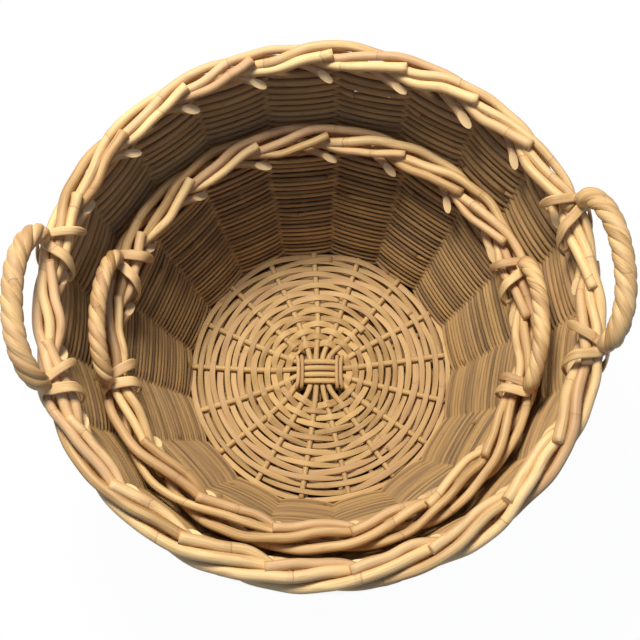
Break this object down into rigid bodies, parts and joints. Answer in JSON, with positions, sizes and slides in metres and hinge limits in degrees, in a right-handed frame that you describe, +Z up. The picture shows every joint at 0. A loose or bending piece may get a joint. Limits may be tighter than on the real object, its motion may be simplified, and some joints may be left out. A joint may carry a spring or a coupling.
{
  "type": "nested wicker basket pair",
  "caption": "Nested pair of round flared wicker baskets with interlaced borders and twisted loop handles; the inner one lifts out.",
  "frame": {"origin": "centre of the outer basket's underside, on the surface that it stands on", "axes": "+Z up and the way the inner basket lifts out; X runs through the two pairs of handles; -Y is the side nearest the viewer in the picture"},
  "size_m": [0.58, 0.5557, 0.3718],
  "materials": {
    "peeled_willow": "buff willow rods, satin, warm straw",
    "twisted_willow": "thin buff willow rods twisted into rope, satin",
    "woven_willow": "khaki-brown willow weavers, matt",
    "base_willow": "split and round willow sticks, matt tan"
  },
  "bodies": {
    "outer_basket": {"outer_stake_01": "peeled_willow", "outer_stake_02": "peeled_willow", "outer_stake_03": "peeled_willow", "outer_stake_04": "peeled_willow", "outer_stake_05": "peeled_willow", "outer_stake_06": "peeled_willow", "outer_stake_07": "peeled_willow", "outer_stake_08": "peeled_willow", "outer_stake_09": "peeled_willow", "outer_stake_10": "peeled_willow", "outer_stake_11": "peeled_willow", "outer_stake_12": "peeled_willow", "outer_stake_13": "peeled_willow", "outer_stake_14": "peeled_willow", "outer_stake_15": "peeled_willow", "outer_stake_16": "peeled_willow", "outer_stake_17": "peeled_willow", "outer_stake_18": "peeled_willow", "outer_stake_19": "peeled_willow", "outer_stake_20": "peeled_willow", "outer_stake_21": "peeled_willow", "outer_side_weave": "woven_willow", "outer_base_weave": "woven_willow", "outer_split_sticks": "base_willow", "outer_through_stick_1": "base_willow", "outer_through_stick_2": "base_willow", "outer_through_stick_3": "base_willow", "outer_through_stick_4": "base_willow", "outer_through_stick_5": "base_willow", "outer_odd_stick": "base_willow", "outer_handle_left": "twisted_willow", "outer_handle_right": "twisted_willow"},
    "inner_basket": {"inner_stake_01": "peeled_willow", "inner_stake_02": "peeled_willow", "inner_stake_03": "peeled_willow", "inner_stake_04": "peeled_willow", "inner_stake_05": "peeled_willow", "inner_stake_06": "peeled_willow", "inner_stake_07": "peeled_willow", "inner_stake_08": "peeled_willow", "inner_stake_09": "peeled_willow", "inner_stake_10": "peeled_willow", "inner_stake_11": "peeled_willow", "inner_stake_12": "peeled_willow", "inner_stake_13": "peeled_willow", "inner_stake_14": "peeled_willow", "inner_stake_15": "peeled_willow", "inner_stake_16": "peeled_willow", "inner_stake_17": "peeled_willow", "inner_side_weave": "woven_willow", "inner_base_weave": "woven_willow", "inner_split_sticks": "base_willow", "inner_through_stick_1": "base_willow", "inner_through_stick_2": "base_willow", "inner_through_stick_3": "base_willow", "inner_through_stick_4": "base_willow", "inner_odd_stick": "base_willow", "inner_handle_left": "twisted_willow", "inner_handle_right": "twisted_willow"}
  },
  "joints": [
    {"name": "inner_lift", "type": "slide", "parent": "outer_basket", "child": "inner_basket", "axis": [0, 0, 1], "range_m": [0, 0.36]}
  ]
}
